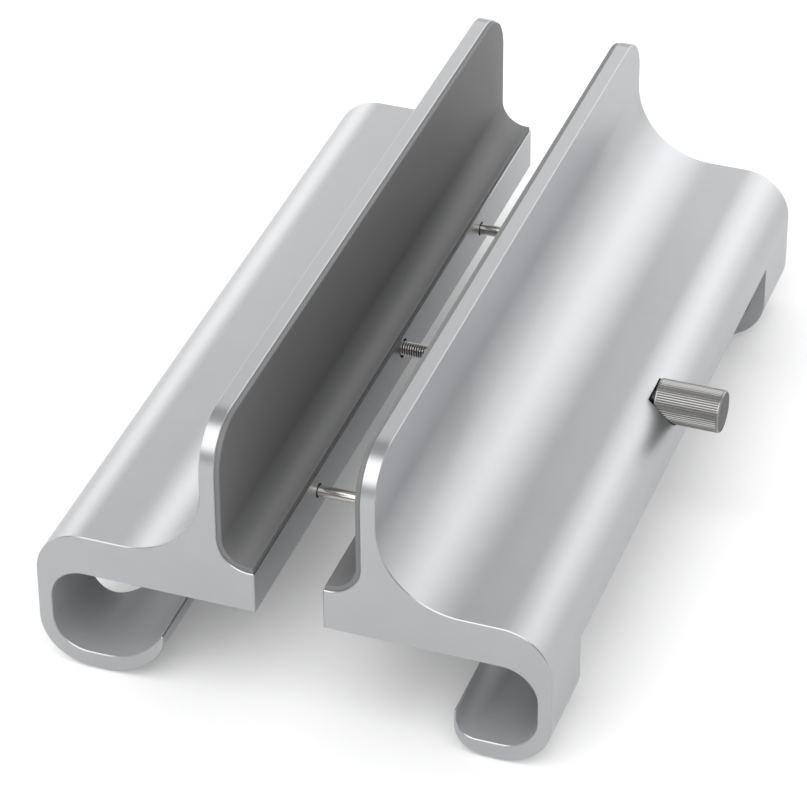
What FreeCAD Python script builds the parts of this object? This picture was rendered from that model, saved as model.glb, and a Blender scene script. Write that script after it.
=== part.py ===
"""Vertical laptop stand: two aluminium rails on guide rods, drawn together by a lead screw with a ribbed knob.

Millimetres. +Z is up, +Y runs along the rails away from the viewer, and +X points to the knob's side.
The origin is at desk level, in the middle of the box round the whole stand. The stand is shown with its
slot part-way open. A rail's own X runs outwards from the flat face that looks into the gap, and its own Z
starts at the lowest line of its feet.
"""

import FreeCAD, Part
import math
import os
import re
import Sketcher

FRONT_AND_REAR = (("front", -1), ("rear", 1))
FULL_TURN = 360.0
HEXAGON_STEP = 60
SAME_PLACE = 0.001

SIZES = (
    ("rail_length", 165.0, "length of each rail"),
    ("rail_gap", 13.6, "distance between the rails' inner faces as shown"),
    ("rail_width", 44.5, "inner face to outer wall"),
    ("rail_height", 61.0, "lowest line of the feet to the top of the blade"),
    ("underside_height", 22.1, "height of the flat underside"),
    ("ledge_height", 31.0, "height of the ledge that carries the laptop"),
    ("ledge_flat", 0.85, "flat part of the ledge"),
    ("ledge_fillet", 6.5, "radius between ledge and blade"),
    ("blade_thickness", 3.0, "thickness of the upright blade"),
    ("blade_corner", 9.5, "radius of the blade's top corners, seen from the side"),
    ("saddle_height", 31.0, "height of the flat saddle outside the blade"),
    ("saddle_radius", 16.5, "concave radius from blade to saddle"),
    ("shoulder_radius", 10.0, "radius from saddle to outer wall"),
    ("sole_radius", 10.0, "radius from outer wall to the sole of a foot"),
    ("wall_thickness", 2.8, "thickness of the outer wall"),
    ("sole_thickness", 3.5, "thickness of the sole of a foot"),
    ("hollow_radius", 7.1, "corner radius inside the foot's hollow"),
    ("edge_chamfer", 0.25, "bright chamfer along the rail's outline"),
    ("foot_length", 17.6, "length of the foot at each end of a rail"),
    ("arch_height", 18.6, "height of the arch milled through the outer wall, between the feet"),
    ("arch_depth", 12.8, "outer wall to the far side of the arch"),
    ("arch_corner", 8.0, "radius that the cutter leaves in the arch's corners, seen from below"),
    ("tight_curl_sole_end", 13.25, "right foot: outer wall to the end of the flat sole"),
    ("tight_curl_radius", 5.7, "right foot: outer radius of the curl"),
    ("tight_curl_height", 9.2, "right foot: height of the curl's tip"),
    ("tight_curl_floor_end", 13.3, "right foot: outer wall to the end of the flat floor in the hollow"),
    ("open_curl_sole_end", 11.2, "left foot: outer wall to the end of the flat sole"),
    ("open_curl_radius", 14.5, "left foot: outer radius of the curl"),
    ("open_curl_height", 10.8, "left foot: height of the curl's tip"),
    ("open_curl_floor_end", 12.5, "left foot: outer wall to the end of the flat floor in the hollow"),
    ("curl_tip", 0.6, "thickness of a curl at its tip"),
    ("tip_chamfer_share", 0.45, "most of a curl's tip that one chamfer may take"),
    ("pad_thickness", 1.0, "thickness of the slot's silicone liner"),
    ("pad_margin", 0.3, "bare edge left round a liner"),
    ("foot_pad_thickness", 1.2, "thickness of a foot pad"),
    ("foot_pad_proud", 0.5, "how far a foot pad stands below its sole"),
    ("foot_pad_width", 6.0, "width of a foot pad"),
    ("foot_pad_length", 12.6, "length of a foot pad"),
    ("foot_pad_corner", 2.0, "corner radius of a foot pad"),
    ("foot_pad_from_wall", 11.6, "outer wall to the middle of a foot pad"),
    ("rod_diameter", 2.3, "diameter of a guide rod"),
    ("rod_spacing", 97.2, "distance between the guide rods"),
    ("rod_depth", 4.5, "ledge down to the guide rods' axes"),
    ("rod_length", 60.0, "length of a guide rod"),
    ("rod_seat", 25.0, "how deep a guide rod sits in the right rail"),
    ("rod_chamfer", 0.3, "chamfer at the rods' ends"),
    ("running_clearance", 0.03, "radial clearance of what slides or turns in a bush"),
    ("mouth_depth", 2.0, "how far the left rail's bushes and insert lie inside their bores"),
    ("rod_bush_diameter", 3.0, "outside of a rod bush"),
    ("rod_bush_length", 10.0, "length of a rod bush"),
    ("rod_bore_depth", 36.0, "depth of a rod bore in the left rail"),
    ("screw_depth", 3.2, "ledge down to the axis of the screw and the knob"),
    ("screw_diameter", 3.0, "diameter of the lead screw"),
    ("screw_reach", 17.2, "how deep the screw's end lies in the left rail as shown"),
    ("screw_passage", 3.4, "diameter of the screw's free passage through the right rail"),
    ("insert_diameter", 4.1, "outside of the threaded insert"),
    ("insert_length", 8.0, "length of the threaded insert"),
    ("screw_bore_depth", 32.0, "depth of the screw's bore in the left rail"),
    ("collar_step", 0.3, "how far the collar that holds the screw stands out round it"),
    ("collar_length", 1.5, "length of the collar"),
    ("washer_play", 0.05, "gap between a thrust washer and its seat"),
    ("washer_bore_play", 0.08, "gap between the screw and a thrust washer"),
    ("washer_thickness", 0.4, "thickness of a thrust washer"),
    ("end_play", 0.05, "gap between the collar and each thrust washer"),
    ("screw_bush_wall", 0.42, "wall of the screw's bush"),
    ("screw_bush_length", 3.0, "length of the screw's bush"),
    ("knob_diameter", 8.6, "knob over its ribs"),
    ("knob_length", 13.4, "length of the knob"),
    ("knob_reach", 8.7, "how far the knob stands out past the outer wall"),
    ("knob_pocket_play", 0.35, "gap between the knob and the recess that it lies in"),
    ("knob_pocket_gap", 1.0, "gap between the knob's inner end and the recess floor"),
    ("knob_rim", 0.7, "smooth rim at each end of the knob"),
    ("knob_chamfer", 0.35, "chamfer at the knob's ends"),
    ("knob_bore_depth", 9.0, "depth of the screw's seat in the knob"),
    ("knob_dish", 0.25, "depth of the dished end face"),
    ("knob_dish_diameter", 6.4, "diameter of the dished end face"),
    ("rib_count", 54, "straight ribs round the knob"),
    ("rib_depth", 0.22, "depth of the grooves between the ribs"),
    ("rib_groove_width", 0.36, "width of a groove at the knob's surface"),
    ("grub_diameter", 3.0, "rod grub screws"),
    ("grub_from_gap", 12.0, "inner face to a rod grub screw"),
    ("grub_length", 2.5, "length of a rod grub screw"),
    ("grub_socket", 1.5, "width across the flats of its hex socket"),
    ("screw_chamfer_share", 0.1, "end chamfer of a headless screw, as a share of its diameter"),
    ("set_screw_diameter", 1.6, "knob's set screw"),
    ("set_screw_from_end", 1.9, "knob's inner end to its set screw"),
    ("set_screw_length", 2.0, "length of the knob's set screw"),
    ("set_screw_socket", 0.7, "width across the flats of its hex socket"),
    ("cut_margin", 1.0, "how far a cut runs past what it cuts"),
)

ALIAS = re.compile(r"\b(" + "|".join(name for name, size, note in SIZES) + r")\b")

GAP_MIDDLE = "(0 - knob_reach / 2)"
BLADE_INNER = "(ledge_flat + ledge_fillet)"
BLADE_OUTER = "(ledge_flat + ledge_fillet + blade_thickness)"
WALL_INNER = "(rail_width - wall_thickness)"
SCREW_BORE = "(screw_diameter + 2 * running_clearance)"
BUSH_SEAT = f"({SCREW_BORE} + 2 * screw_bush_wall)"
COLLAR = "(screw_diameter / 2 + collar_step)"
BUSH_SEAT_DEPTH = "(screw_bush_length + 2 * washer_thickness + collar_length + 2 * end_play)"
KNOB_INNER_END = "(rail_width + knob_reach - knob_length)"
KNOB_POCKET_FLOOR = f"({KNOB_INNER_END} - knob_pocket_gap)"
BUSH_SEAT_FLOOR = f"({KNOB_POCKET_FLOOR} - {BUSH_SEAT_DEPTH})"
RIGHT_INNER_FACE = f"({GAP_MIDDLE} + rail_gap / 2)"
LEFT_INNER_FACE = f"({GAP_MIDDLE} - rail_gap / 2)"
CHAMFER = "min(edge_chamfer; tip_chamfer_share * curl_tip)"
ROD_HEIGHT = "(ledge_height - rod_depth)"
SCREW_HEIGHT = "(ledge_height - screw_depth)"

document = FreeCAD.newDocument("LaptopStand")
sheet = document.addObject("Spreadsheet::Sheet", "Sizes")


def fill_sheet():
    """Writes each size on its own row: a note, and its value under its own name."""
    for row, (name, size, note) in enumerate(SIZES, start=1):
        sheet.set(f"A{row}", note)
        sheet.set(f"B{row}", str(size))
        sheet.setAlias(f"B{row}", name)
    document.recompute()


def bound(text):
    """Turns a formula in size names into one that points at the sheet."""
    return ALIAS.sub(r"Sizes.\1", text)


def value(text):
    """The number that a formula in size names comes to."""
    result = sheet.evalExpression(bound(text))
    return float(getattr(result, "Value", result))


def bind(thing, **formulas):
    """Binds properties to formulas; a double underscore in a name stands for a dot."""
    for name, text in formulas.items():
        thing.setExpression(name.replace("__", "."), bound(text))


def place(thing, x="0", y="0", z="0"):
    """Puts a finished piece where three formulas say, in the stand's frame."""
    bind(thing, Placement__Base__x=x, Placement__Base__y=y, Placement__Base__z=z)


def new_body(name):
    """An empty body that will be the piece of that name."""
    body = document.addObject("PartDesign::Body", name)
    body.Label = name
    return body


def origin_feature(body, role):
    """One of a body's own origin planes or axes."""
    return next(item for item in body.Origin.OriginFeatures if item.Role == role)


def new_sketch(body, name, plane="XZ_Plane", offset="0"):
    """A sketch on one of the body's origin planes, moved along the plane's normal."""
    sketch = body.newObject("Sketcher::SketchObject", name)
    sketch.AttachmentSupport = [(origin_feature(body, plane), "")]
    sketch.MapMode = "FlatFace"
    if offset != "0":
        sketch.AttachmentOffset = FreeCAD.Placement(
            FreeCAD.Vector(0, 0, value(offset)), FreeCAD.Rotation()
        )
        bind(sketch, AttachmentOffset__Base__z=offset)
    return sketch


def fix(sketch, kind, label, text, *where):
    """Adds one driven size to a sketch and binds it to a formula."""
    index = sketch.addConstraint(Sketcher.Constraint(kind, *where, value(text)))
    sketch.renameConstraint(index, label)
    bind(sketch, **{f"Constraints__{label}": text})


def arc_between(start, end, radius, turn):
    """The short arc from start to end, turning left (+1) or right (-1); arcs are stored anticlockwise."""
    chord = end - start
    middle = (start + end) * 0.5
    across = FreeCAD.Vector(-chord.y, chord.x, 0).normalize()
    rise = math.sqrt(max(radius**2 - (chord.Length / 2) ** 2, 0))
    centre = middle + across * rise * turn
    first, last = (start, end) if turn > 0 else (end, start)
    first_angle = math.atan2(first.y - centre.y, first.x - centre.x)
    last_angle = math.atan2(last.y - centre.y, last.x - centre.x)
    circle = Part.Circle(centre, FreeCAD.Vector(0, 0, 1), radius)
    return Part.ArcOfCircle(circle, first_angle, last_angle)


def draw_outline(sketch, corners, side=1):
    """Draws a closed outline through corners and fixes every corner and radius to its formula.

    A corner is (across, up), or (across, up, radius, turn) when the edge that leaves it is an arc that
    turns left (+1) or right (-1). side -1 draws the mirror image.
    """
    flip = "-1 * " if side < 0 else ""
    texts = [(f"{flip}({corner[0]})", corner[1]) for corner in corners]
    points = [FreeCAD.Vector(value(across), value(up), 0) for across, up in texts]
    ends = []
    for index, corner in enumerate(corners):
        start = points[index]
        end = points[(index + 1) % len(points)]
        if len(corner) == 2:
            edge = sketch.addGeometry(Part.LineSegment(start, end))
            ends.append((edge, 1, 2))
        else:
            turn = corner[3] * side
            edge = sketch.addGeometry(arc_between(start, end, value(corner[2]), turn))
            ends.append((edge, 1, 2) if turn > 0 else (edge, 2, 1))
    for index, (edge, _, last) in enumerate(ends):
        next_edge, next_first, _ = ends[(index + 1) % len(ends)]
        sketch.addConstraint(Sketcher.Constraint("Coincident", edge, last, next_edge, next_first))
    for index, corner in enumerate(corners):
        edge, first, _ = ends[index]
        across, up = texts[index]
        fix(sketch, "DistanceX", f"across{index}", across, -1, 1, edge, first)
        fix(sketch, "DistanceY", f"up{index}", up, -1, 1, edge, first)
        if len(corner) > 2:
            fix(sketch, "Radius", f"radius{index}", corner[2], edge)


def draw_circle(sketch, across, up, radius):
    """Draws a circle whose centre and radius are fixed to formulas."""
    centre = FreeCAD.Vector(value(across), value(up), 0)
    edge = sketch.addGeometry(Part.Circle(centre, FreeCAD.Vector(0, 0, 1), value(radius)))
    fix(sketch, "DistanceX", "across", across, -1, 1, edge, 3)
    fix(sketch, "DistanceY", "up", up, -1, 1, edge, 3)
    fix(sketch, "Radius", "radius", radius, edge)


def extrude(body, kind, name, sketch, length, both_ways=False, backwards=False):
    """Pads or pockets a sketch by a formula's length."""
    feature = body.newObject(f"PartDesign::{kind}", name)
    feature.Profile = sketch
    feature.Length = value(length)
    bind(feature, Length=length)
    if both_ways:
        feature.SideType = "Symmetric"
    feature.Reversed = backwards
    document.recompute()
    return feature


def cut(body, name, sketch, length, backwards=False):
    """Pockets a sketch and makes sure that metal was really cut away."""
    before = body.Shape.Volume
    pocket = extrude(body, "Pocket", name, sketch, length, backwards=backwards)
    if body.Shape.Volume >= before:
        raise RuntimeError(f"{body.Label}: {name} cuts nothing")
    return pocket


def near(first, second):
    """True when two lengths are the same place."""
    return abs(first - second) < SAME_PLACE


def edges_where(shape, test):
    """Names of the edges whose middle point passes a test."""
    names = []
    for number, edge in enumerate(shape.Edges, start=1):
        low, high = edge.ParameterRange
        if test(edge.valueAt((low + high) / 2)):
            names.append(f"Edge{number}")
    return names


def dress(body, kind, name, base, edge_names, size_name, size):
    """A fillet or chamfer on named edges of a feature."""
    feature = body.newObject(f"PartDesign::{kind}", name)
    feature.Base = (base, edge_names)
    bind(feature, **{size_name: size})
    document.recompute()
    body.Tip = feature
    return feature


def tight_curl():
    """Sole and curl of the right foot: a quarter round, then a short upright lip."""
    lip = "(rail_width - tight_curl_sole_end - tight_curl_radius)"
    run = f"(rail_width - tight_curl_floor_end - {lip} - curl_tip)"
    rise = "(tight_curl_height - sole_thickness)"
    inner_radius = f"({run} ^ 2 + {rise} ^ 2) / (2 * {rise})"
    return [
        ("rail_width - tight_curl_sole_end", "0", "tight_curl_radius", -1),
        (lip, "tight_curl_radius"),
        (lip, "tight_curl_height"),
        (f"{lip} + curl_tip", "tight_curl_height", inner_radius, 1),
        ("rail_width - tight_curl_floor_end", "sole_thickness"),
    ]


def open_curl():
    """Sole and curl of the left foot: one wide arc that thins out to its tip."""
    sweep = "sqrt(open_curl_radius ^ 2 - (open_curl_radius - open_curl_height) ^ 2)"
    tip = f"(rail_width - open_curl_sole_end - {sweep})"
    run = f"(rail_width - open_curl_floor_end - {tip} - curl_tip)"
    rise = "(open_curl_height - sole_thickness)"
    inner_radius = f"({run} ^ 2 + {rise} ^ 2) / (2 * {rise})"
    return [
        ("rail_width - open_curl_sole_end", "0", "open_curl_radius", -1),
        (tip, "open_curl_height"),
        (f"{tip} + curl_tip", "open_curl_height", inner_radius, 1),
        ("rail_width - open_curl_floor_end", "sole_thickness"),
    ]


def rail_outline(curl):
    """The rail's whole section: ledge, blade, saddle, shoulder, wall, sole, curl and hollow."""
    return [
        ("0", "underside_height"),
        ("0", "ledge_height"),
        ("ledge_flat", "ledge_height", "ledge_fillet", 1),
        (BLADE_INNER, "ledge_height + ledge_fillet"),
        (BLADE_INNER, "rail_height"),
        (BLADE_OUTER, "rail_height"),
        (BLADE_OUTER, "saddle_height + saddle_radius", "saddle_radius", 1),
        (f"{BLADE_OUTER} + saddle_radius", "saddle_height"),
        ("rail_width - shoulder_radius", "saddle_height", "shoulder_radius", -1),
        ("rail_width", "saddle_height - shoulder_radius"),
        ("rail_width", "sole_radius", "sole_radius", -1),
        ("rail_width - sole_radius", "0"),
        *curl,
        (f"{WALL_INNER} - hollow_radius", "sole_thickness", "hollow_radius", 1),
        (WALL_INNER, "sole_thickness + hollow_radius"),
        (WALL_INNER, "underside_height - hollow_radius", "hollow_radius", 1),
        (f"{WALL_INNER} - hollow_radius", "underside_height"),
    ]


def arch_outline():
    """The arch between the two feet, seen from below: it takes the wall and the sole, and leaves the curl."""
    half = "(rail_length / 2 - foot_length)"
    inner = "(rail_width - arch_depth)"
    return [
        ("rail_width + cut_margin", f"-1 * {half}"),
        ("rail_width + cut_margin", half),
        (f"{inner} + arch_corner", half, "arch_corner", 1),
        (inner, f"{half} - arch_corner"),
        (inner, f"-1 * {half} + arch_corner", "arch_corner", 1),
        (f"{inner} + arch_corner", f"-1 * {half}"),
    ]


def rounded_rectangle(width, length, corner, across, along):
    """A rectangle with rounded corners about a middle point, its length along Y."""
    low = f"({across} - {width} / 2)"
    high = f"({across} + {width} / 2)"
    front = f"({along} - {length} / 2)"
    rear = f"({along} + {length} / 2)"
    return [
        (f"{low} + {corner}", front),
        (f"{high} - {corner}", front, corner, 1),
        (high, f"{front} + {corner}"),
        (high, f"{rear} - {corner}", corner, 1),
        (f"{high} - {corner}", rear),
        (f"{low} + {corner}", rear, corner, 1),
        (low, f"{rear} - {corner}"),
        (low, f"{front} + {corner}", corner, 1),
    ]


def foot_pad_outline(end):
    """Outline of the foot pad at one end of a rail, in the rail's own frame."""
    return rounded_rectangle(
        "foot_pad_width",
        "foot_pad_length",
        "foot_pad_corner",
        "(rail_width - foot_pad_from_wall)",
        f"({end} * (rail_length - foot_length) / 2)",
    )


def make_rail(name, side, curl, curl_height):
    """One rail: the extruded section, the arch, rounded blade corners, chamfers and foot pad recesses."""
    body = new_body(name)
    outline = new_sketch(body, f"{name}_section")
    draw_outline(outline, rail_outline(curl), side)
    extrude(body, "Pad", f"{name}_blank", outline, "rail_length", both_ways=True)

    arch = new_sketch(body, f"{name}_arch_outline", "XY_Plane", "0 - cut_margin")
    draw_outline(arch, arch_outline(), side)
    tip = cut(body, f"{name}_arch", arch, "cut_margin + arch_height", backwards=True)

    end = value("rail_length / 2")
    top = value("rail_height")
    ledge = value("ledge_height")
    curl_top = value(curl_height)
    corners = edges_where(tip.Shape, lambda p: near(p.z, top) and near(abs(p.y), end))
    tip = dress(body, "Fillet", f"{name}_blade_corners", tip, corners, "Radius", "blade_corner")

    outline_edges = edges_where(
        tip.Shape,
        lambda p: (near(abs(p.y), end) and not near(p.z, curl_top)) or (near(p.x, 0) and near(p.z, ledge)),
    )
    dress(body, "Chamfer", f"{name}_bright_edges", tip, outline_edges, "Size", CHAMFER)

    for position, sign in FRONT_AND_REAR:
        recess = new_sketch(body, f"{name}_{position}_recess_outline", "XY_Plane", "0 - cut_margin")
        draw_outline(recess, foot_pad_outline(sign), side)
        depth = "cut_margin + foot_pad_thickness - foot_pad_proud"
        cut(body, f"{name}_{position}_recess", recess, depth, backwards=True)
    return body


def bore(body, name, y, z, diameter, start, depth, side):
    """A round hole along X that starts at a distance from the rail's inner face and runs outwards."""
    sketch = new_sketch(body, f"{name}_outline", "YZ_Plane", f"{side} * ({start})")
    draw_circle(sketch, y, z, f"({diameter}) / 2")
    cut(body, name, sketch, depth, backwards=side > 0)


def rod_place(sign):
    """Distance of a guide rod from mid-length, with its sign."""
    return f"{sign} * rod_spacing / 2"


def make_right_rail():
    """The rail that holds the rods, the screw's bush and the knob's recess."""
    body = make_rail("right_rail", 1, tight_curl(), "tight_curl_height")
    for position, sign in FRONT_AND_REAR:
        bore(body, f"{position}_rod_seat", rod_place(sign), ROD_HEIGHT, "rod_diameter", "0", "rod_seat", 1)
        grub = new_sketch(body, f"{position}_grub_outline", "XY_Plane", "underside_height - cut_margin")
        draw_circle(grub, "grub_from_gap", rod_place(sign), "grub_diameter / 2")
        height = f"{ROD_HEIGHT} - underside_height + cut_margin"
        cut(body, f"{position}_grub_hole", grub, height, backwards=True)
    bore(body, "screw_passage", "0", SCREW_HEIGHT, "screw_passage", "0", BUSH_SEAT_FLOOR, 1)
    seat_depth = f"{BUSH_SEAT_DEPTH} + cut_margin"
    bore(body, "bush_seat", "0", SCREW_HEIGHT, BUSH_SEAT, BUSH_SEAT_FLOOR, seat_depth, 1)
    pocket_depth = f"rail_width - {KNOB_POCKET_FLOOR} + cut_margin"
    pocket_diameter = "knob_diameter + 2 * knob_pocket_play"
    bore(body, "knob_recess", "0", SCREW_HEIGHT, pocket_diameter, KNOB_POCKET_FLOOR, pocket_depth, 1)
    place(body, RIGHT_INNER_FACE, "0", "foot_pad_proud")


def make_left_rail():
    """The rail that slides: two bores for rods and bushes, one for the screw and its insert."""
    body = make_rail("left_rail", -1, open_curl(), "open_curl_height")
    for position, sign in FRONT_AND_REAR:
        name = f"{position}_rod_bore"
        bore(body, name, rod_place(sign), ROD_HEIGHT, "rod_bush_diameter", "0", "rod_bore_depth", -1)
    bore(body, "screw_bore", "0", SCREW_HEIGHT, "insert_diameter", "0", "screw_bore_depth", -1)
    place(body, LEFT_INNER_FACE, "0", "foot_pad_proud")


def make_slot_pad(name, side, inner_face):
    """The slot's liner: one bent strip over ledge, fillet and blade, with the blade's rounded corners."""
    body = new_body(name)
    slot_face = f"({BLADE_INNER} - pad_thickness)"
    outline = new_sketch(body, f"{name}_section")
    corners = [
        ("pad_margin", "ledge_height"),
        ("ledge_flat", "ledge_height", "ledge_fillet", 1),
        (BLADE_INNER, "ledge_height + ledge_fillet"),
        (BLADE_INNER, "rail_height - pad_margin"),
        (slot_face, "rail_height - pad_margin"),
        (slot_face, "ledge_height + ledge_fillet", "ledge_fillet - pad_thickness", -1),
        ("ledge_flat", "ledge_height + pad_thickness"),
        ("pad_margin", "ledge_height + pad_thickness"),
    ]
    draw_outline(outline, corners, side)
    strip = extrude(body, "Pad", f"{name}_strip", outline, "rail_length - 2 * pad_margin", both_ways=True)
    top = value("rail_height - pad_margin")
    end = value("rail_length / 2 - pad_margin")
    upper = edges_where(strip.Shape, lambda p: near(p.z, top) and near(abs(p.y), end))
    dress(body, "Fillet", f"{name}_corners", strip, upper, "Radius", "blade_corner - pad_margin")
    place(body, inner_face, "0", "foot_pad_proud")


def turned(name, corners, x, y="0", z="0", axis="H_Axis"):
    """A piece turned on a lathe: corners are (along, out) for an axis along X, (out, up) for one along Z."""
    body = new_body(name)
    outline = new_sketch(body, f"{name}_half_section")
    draw_outline(outline, corners)
    revolution = body.newObject("PartDesign::Revolution", f"{name}_turning")
    revolution.Profile = outline
    revolution.ReferenceAxis = (outline, [axis])
    revolution.Angle = FULL_TURN
    document.recompute()
    place(body, x, y, f"foot_pad_proud + {z}")
    return body


def ring(length, bore_diameter, outside_diameter):
    """Half-section of a plain ring or bush."""
    return [
        ("0", f"{bore_diameter} / 2"),
        (length, f"{bore_diameter} / 2"),
        (length, f"{outside_diameter} / 2"),
        ("0", f"{outside_diameter} / 2"),
    ]


def make_guide_rods():
    """Two plain rods, fixed in the right rail and sliding in the left."""
    corners = [
        ("0", "0"),
        ("rod_length", "0"),
        ("rod_length", "rod_diameter / 2 - rod_chamfer"),
        ("rod_length - rod_chamfer", "rod_diameter / 2"),
        ("rod_chamfer", "rod_diameter / 2"),
        ("0", "rod_diameter / 2 - rod_chamfer"),
    ]
    start = f"{RIGHT_INNER_FACE} + rod_seat - rod_length"
    for position, sign in FRONT_AND_REAR:
        turned(f"{position}_guide_rod", corners, start, rod_place(sign), ROD_HEIGHT)


def make_left_rail_bushes():
    """What is pressed into the left rail's bores: a bush for each rod, and the screw's threaded insert."""
    bush = ring("rod_bush_length", "(rod_diameter + 2 * running_clearance)", "rod_bush_diameter")
    start = f"{LEFT_INNER_FACE} - mouth_depth - rod_bush_length"
    for position, sign in FRONT_AND_REAR:
        turned(f"{position}_rod_bush", bush, start, rod_place(sign), ROD_HEIGHT)
    insert = ring("insert_length", SCREW_BORE, "insert_diameter")
    start = f"{LEFT_INNER_FACE} - mouth_depth - insert_length"
    turned("screw_insert", insert, start, "0", SCREW_HEIGHT)


def make_lead_screw():
    """The screw, from its end in the left rail to its seat in the knob, with the collar that holds it."""
    length = f"(rail_gap + screw_reach + {KNOB_INNER_END} + knob_bore_depth)"
    collar_start = f"(rail_gap + screw_reach + {BUSH_SEAT_FLOOR} + washer_thickness + end_play)"
    collar_end = f"({collar_start} + collar_length)"
    radius = "screw_diameter / 2"
    corners = [
        ("0", "0"),
        (length, "0"),
        (length, f"{radius} - rod_chamfer"),
        (f"{length} - rod_chamfer", radius),
        (collar_end, radius),
        (collar_end, COLLAR),
        (collar_start, COLLAR),
        (collar_start, radius),
        ("rod_chamfer", radius),
        ("0", f"{radius} - rod_chamfer"),
    ]
    turned("lead_screw", corners, f"{LEFT_INNER_FACE} - screw_reach", "0", SCREW_HEIGHT)


def make_screw_bearing():
    """Behind the knob: a thrust washer on each side of the collar, and the bush that closes them in."""
    hole = "(screw_diameter + 2 * washer_bore_play)"
    washer = ring("washer_thickness", hole, f"({BUSH_SEAT} - 2 * washer_play)")
    inner = f"{RIGHT_INNER_FACE} + {BUSH_SEAT_FLOOR}"
    outer = f"{inner} + washer_thickness + collar_length + 2 * end_play"
    turned("inner_thrust_washer", washer, inner, "0", SCREW_HEIGHT)
    turned("outer_thrust_washer", washer, outer, "0", SCREW_HEIGHT)
    bush = ring("screw_bush_length", SCREW_BORE, BUSH_SEAT)
    start = f"{RIGHT_INNER_FACE} + {KNOB_POCKET_FLOOR} - screw_bush_length"
    turned("screw_bush", bush, start, "0", SCREW_HEIGHT)


def make_knob():
    """The knob: a turned blank with a blind seat and a dished face, straight ribs and a set screw hole."""
    outer = "knob_diameter / 2"
    seat = "screw_diameter / 2 + running_clearance"
    dish = "knob_dish_diameter / 2"
    blank = [
        ("0", seat),
        ("knob_bore_depth", seat),
        ("knob_bore_depth", "0"),
        ("knob_length - knob_dish", "0"),
        ("knob_length - knob_dish", f"{dish} - knob_dish"),
        ("knob_length", dish),
        ("knob_length", f"{outer} - knob_chamfer"),
        ("knob_length - knob_chamfer", outer),
        ("knob_chamfer", outer),
        ("0", f"{outer} - knob_chamfer"),
    ]
    body = turned("knob", blank, f"{RIGHT_INNER_FACE} + {KNOB_INNER_END}", "0", SCREW_HEIGHT)

    groove = new_sketch(body, "rib_groove_outline", "YZ_Plane", "knob_rim")
    corners = [
        ("0", f"{outer} - rib_depth"),
        ("rib_groove_width", f"{outer} + rib_depth"),
        ("0 - rib_groove_width", f"{outer} + rib_depth"),
    ]
    draw_outline(groove, corners)
    first_groove = cut(body, "rib_groove", groove, "knob_length - 2 * knob_rim", backwards=True)
    grooves = body.newObject("PartDesign::PolarPattern", "rib_grooves")
    grooves.Originals = [first_groove]
    grooves.Axis = (origin_feature(body, "X_Axis"), [""])
    grooves.Angle = FULL_TURN
    grooves.Occurrences = int(value("rib_count"))
    bind(grooves, Occurrences="rib_count")
    body.Tip = grooves
    document.recompute()

    hole = new_sketch(body, "set_screw_hole_outline", "XY_Plane")
    draw_circle(hole, "set_screw_from_end", "0", "set_screw_diameter / 2")
    cut(body, "set_screw_hole", hole, f"{outer} + cut_margin")


def socket_screw(name, diameter, length, socket, x, y, z):
    """A headless screw along Z whose hex socket opens downwards."""
    chamfer = f"({diameter} * screw_chamfer_share)"
    radius = f"{diameter} / 2"
    corners = [
        ("0", "0"),
        (f"{radius} - {chamfer}", "0"),
        (radius, chamfer),
        (radius, f"{length} - {chamfer}"),
        (f"{radius} - {chamfer}", length),
        ("0", length),
    ]
    body = turned(name, corners, x, y, z, "V_Axis")
    hexagon = new_sketch(body, f"{name}_socket_outline", "XY_Plane")
    corner_radius = f"({socket} / sqrt(3))"
    points = [
        (f"{corner_radius} * cos({angle} deg)", f"{corner_radius} * sin({angle} deg)")
        for angle in range(0, int(FULL_TURN), HEXAGON_STEP)
    ]
    draw_outline(hexagon, points)
    cut(body, f"{name}_socket", hexagon, f"{length} / 2", backwards=True)


def make_set_screws():
    """The knob's set screw, and one grub screw under each guide rod."""
    socket_screw(
        "knob_set_screw",
        "set_screw_diameter",
        "set_screw_length",
        "set_screw_socket",
        f"{RIGHT_INNER_FACE} + {KNOB_INNER_END} + set_screw_from_end",
        "0",
        f"{SCREW_HEIGHT} - screw_diameter / 2 - set_screw_length",
    )
    for position, sign in FRONT_AND_REAR:
        socket_screw(
            f"{position}_rod_grub_screw",
            "grub_diameter",
            "grub_length",
            "grub_socket",
            f"{RIGHT_INNER_FACE} + grub_from_gap",
            rod_place(sign),
            f"{ROD_HEIGHT} - rod_diameter / 2 - grub_length",
        )


def make_foot_pads():
    """A soft pad let into the sole of every foot."""
    for rail, side, inner_face in (("left", -1, LEFT_INNER_FACE), ("right", 1, RIGHT_INNER_FACE)):
        for position, sign in FRONT_AND_REAR:
            name = f"{rail}_{position}_foot_pad"
            body = new_body(name)
            outline = new_sketch(body, f"{name}_outline", "XY_Plane")
            draw_outline(outline, foot_pad_outline(sign), side)
            extrude(body, "Pad", f"{name}_block", outline, "foot_pad_thickness")
            place(body, inner_face)


def check_document(pieces):
    """Stops if any object failed to build or any piece has no sound solid."""
    for item in document.Objects:
        if "Invalid" in item.State or "Error" in item.State:
            raise RuntimeError(f"{item.Label} failed: {item.State}")
    for piece in pieces:
        if piece.Shape.isNull() or not piece.Shape.isValid():
            raise RuntimeError(f"{piece.Label} has no valid solid")


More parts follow.
